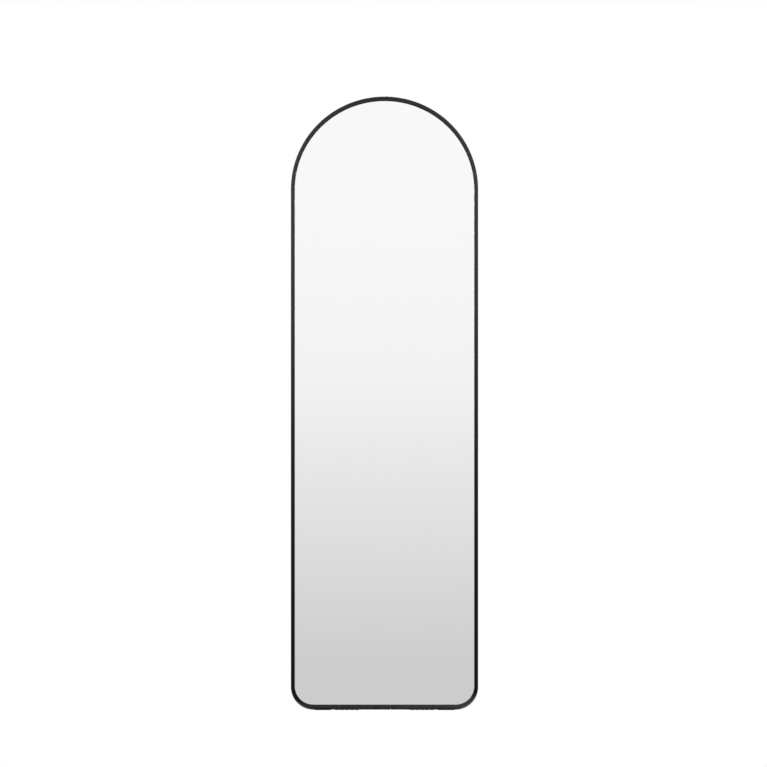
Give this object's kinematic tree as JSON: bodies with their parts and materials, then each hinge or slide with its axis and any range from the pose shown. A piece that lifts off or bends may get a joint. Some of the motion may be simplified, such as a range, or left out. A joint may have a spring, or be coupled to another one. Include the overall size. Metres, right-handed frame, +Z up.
{
  "type": "arched floor mirror",
  "caption": "Arched full-length mirror in a slim black frame that leans back on a fold-out U-shaped rear stand, with keyhole plates for hanging on a wall.",
  "frame": {"origin": "middle of the footprint, on the floor", "axes": "+Z up, the glass faces -Y and leans back towards +Y, +X to the right of someone who faces it"},
  "size_m": [0.5, 0.2818, 1.6394],
  "materials": {
    "frame": "satin black coating on a bent extrusion",
    "mirror": "silvered float glass",
    "film": "thin safety film",
    "filler": "smooth black sealant",
    "board": "brown hardboard",
    "gasket": "soft black strip",
    "spring_steel": "bare spring steel",
    "key_metal": "mill finish",
    "black_screws": "black oxide",
    "zinc_steel": "zinc plated",
    "stand_metal": "black powder coat",
    "nylon": "natural nylon",
    "plug_plastic": "moulded black plastic",
    "rubber": "moulded black rubber"
  },
  "bodies": {
    "mirror": {"frame_left": "frame", "frame_right": "frame", "mirror_glass": "mirror", "safety_film": "film", "backing_board": "board", "glazing_gasket": "gasket", "setting_blocks": "gasket", "spring_clips": "spring_steel", "sill_key": "key_metal", "crown_key": "key_metal", "crown_bead": "filler", "key_screws": "black_screws", "hanger_screws": "zinc_steel", "bracket_screws": "black_screws", "hanger_plate_left": "zinc_steel", "hanger_plate_right": "zinc_steel", "hanger_nut_bar_left": "zinc_steel", "hanger_nut_bar_right": "zinc_steel", "bracket_left": "stand_metal", "bracket_right": "stand_metal", "bracket_nut_bar_left": "zinc_steel", "bracket_nut_bar_right": "zinc_steel", "pivot_bolt_left": "black_screws", "pivot_bolt_right": "black_screws", "pivot_nuts": "zinc_steel", "pivot_washers": "nylon", "foot_pads": "rubber", "wall_bumpers": "rubber"},
    "stand": {"stand_leg": "stand_metal", "stand_plugs": "plug_plastic", "stand_sleeves": "rubber"}
  },
  "joints": [
    {"name": "stand_fold", "type": "hinge", "parent": "mirror", "child": "stand", "pos_m": [0, 0.0198, 0.89071], "axis": [1, 0, 0], "range_deg": [-15.3, 0]}
  ]
}
